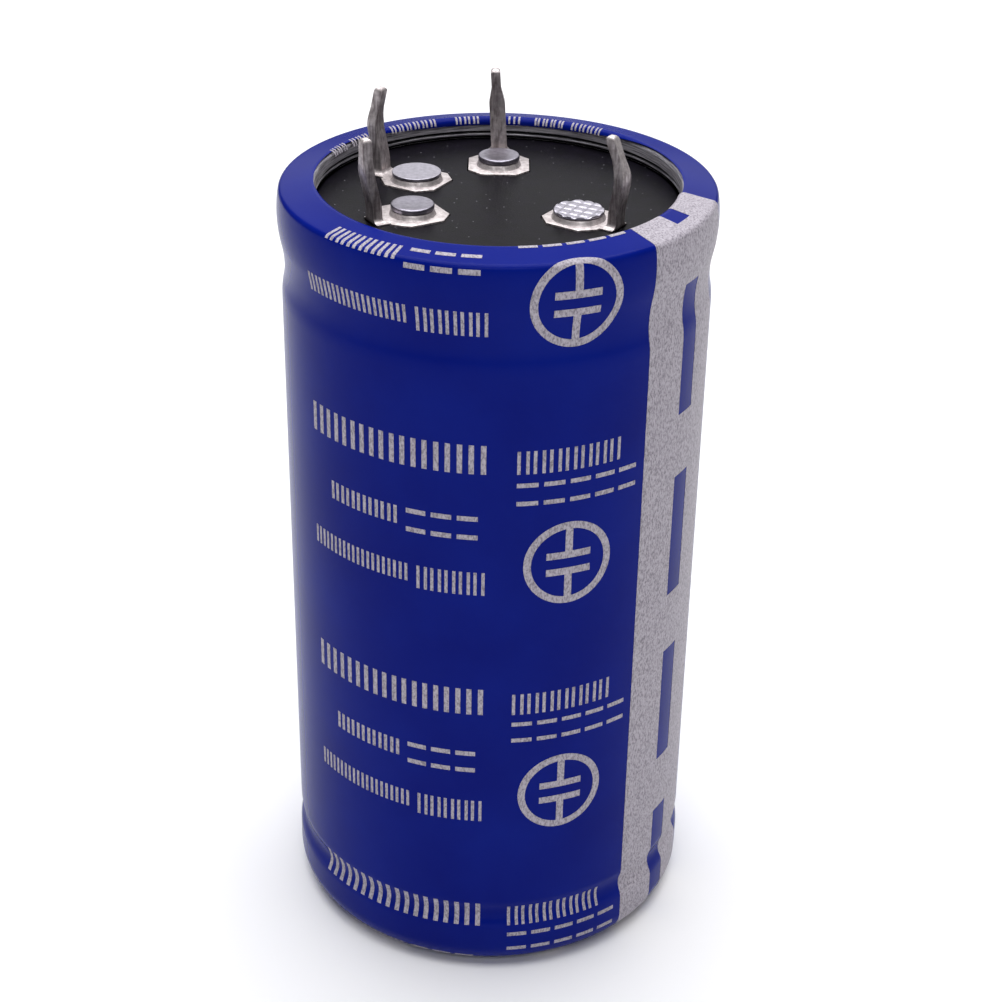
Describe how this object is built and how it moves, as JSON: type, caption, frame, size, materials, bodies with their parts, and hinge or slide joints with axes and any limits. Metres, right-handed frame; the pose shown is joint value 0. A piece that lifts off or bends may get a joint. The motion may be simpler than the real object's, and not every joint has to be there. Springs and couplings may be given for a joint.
{
  "type": "supercapacitor",
  "caption": "Snap-in supercapacitor: sleeved aluminium can with a rolled bead, a recessed black header and riveted blade terminals.",
  "frame": {"origin": "centre of the base, on the surface that the closed end stands on", "axes": "+Z along the can's axis towards the terminals; the rear support terminal is towards +Y"},
  "size_m": [0.036, 0.036, 0.0734],
  "materials": {
    "sleeve_pvc": "heat-shrunk PVC, semi-gloss blue with a silver printed stripe",
    "silver_ink": "aluminium-flake ink printed on the sleeve",
    "can_aluminium": "drawn aluminium with fine roller marks at the curl",
    "header_rubber": "matte black rubber",
    "phenolic": "brown phenolic laminate",
    "tinned_lug": "dull tin plate with sheared edges",
    "rivet_aluminium": "satin aluminium",
    "tab_foil": "plain aluminium strip",
    "winding": "carbon-coated foil roll",
    "tape": "polyester tape",
    "insulator": "plain polypropylene"
  },
  "bodies": {
    "root": {"sleeve": "sleeve_pvc", "can": "can_aluminium", "header_rubber": "header_rubber", "header_board": "phenolic", "lug_negative": "tinned_lug", "lug_positive": "tinned_lug", "lug_support_rear": "tinned_lug", "lug_support_front": "tinned_lug", "rivet_negative": "rivet_aluminium", "rivet_positive": "rivet_aluminium", "rivet_support_rear": "rivet_aluminium", "rivet_support_front": "rivet_aluminium", "washer_negative": "rivet_aluminium", "washer_positive": "rivet_aluminium", "washer_support_rear": "rivet_aluminium", "washer_support_front": "rivet_aluminium", "tab_negative": "tab_foil", "tab_positive": "tab_foil", "winding": "winding", "winding_tape": "tape", "bottom_insulator": "insulator", "top_insulator": "insulator"}
  },
  "joints": []
}
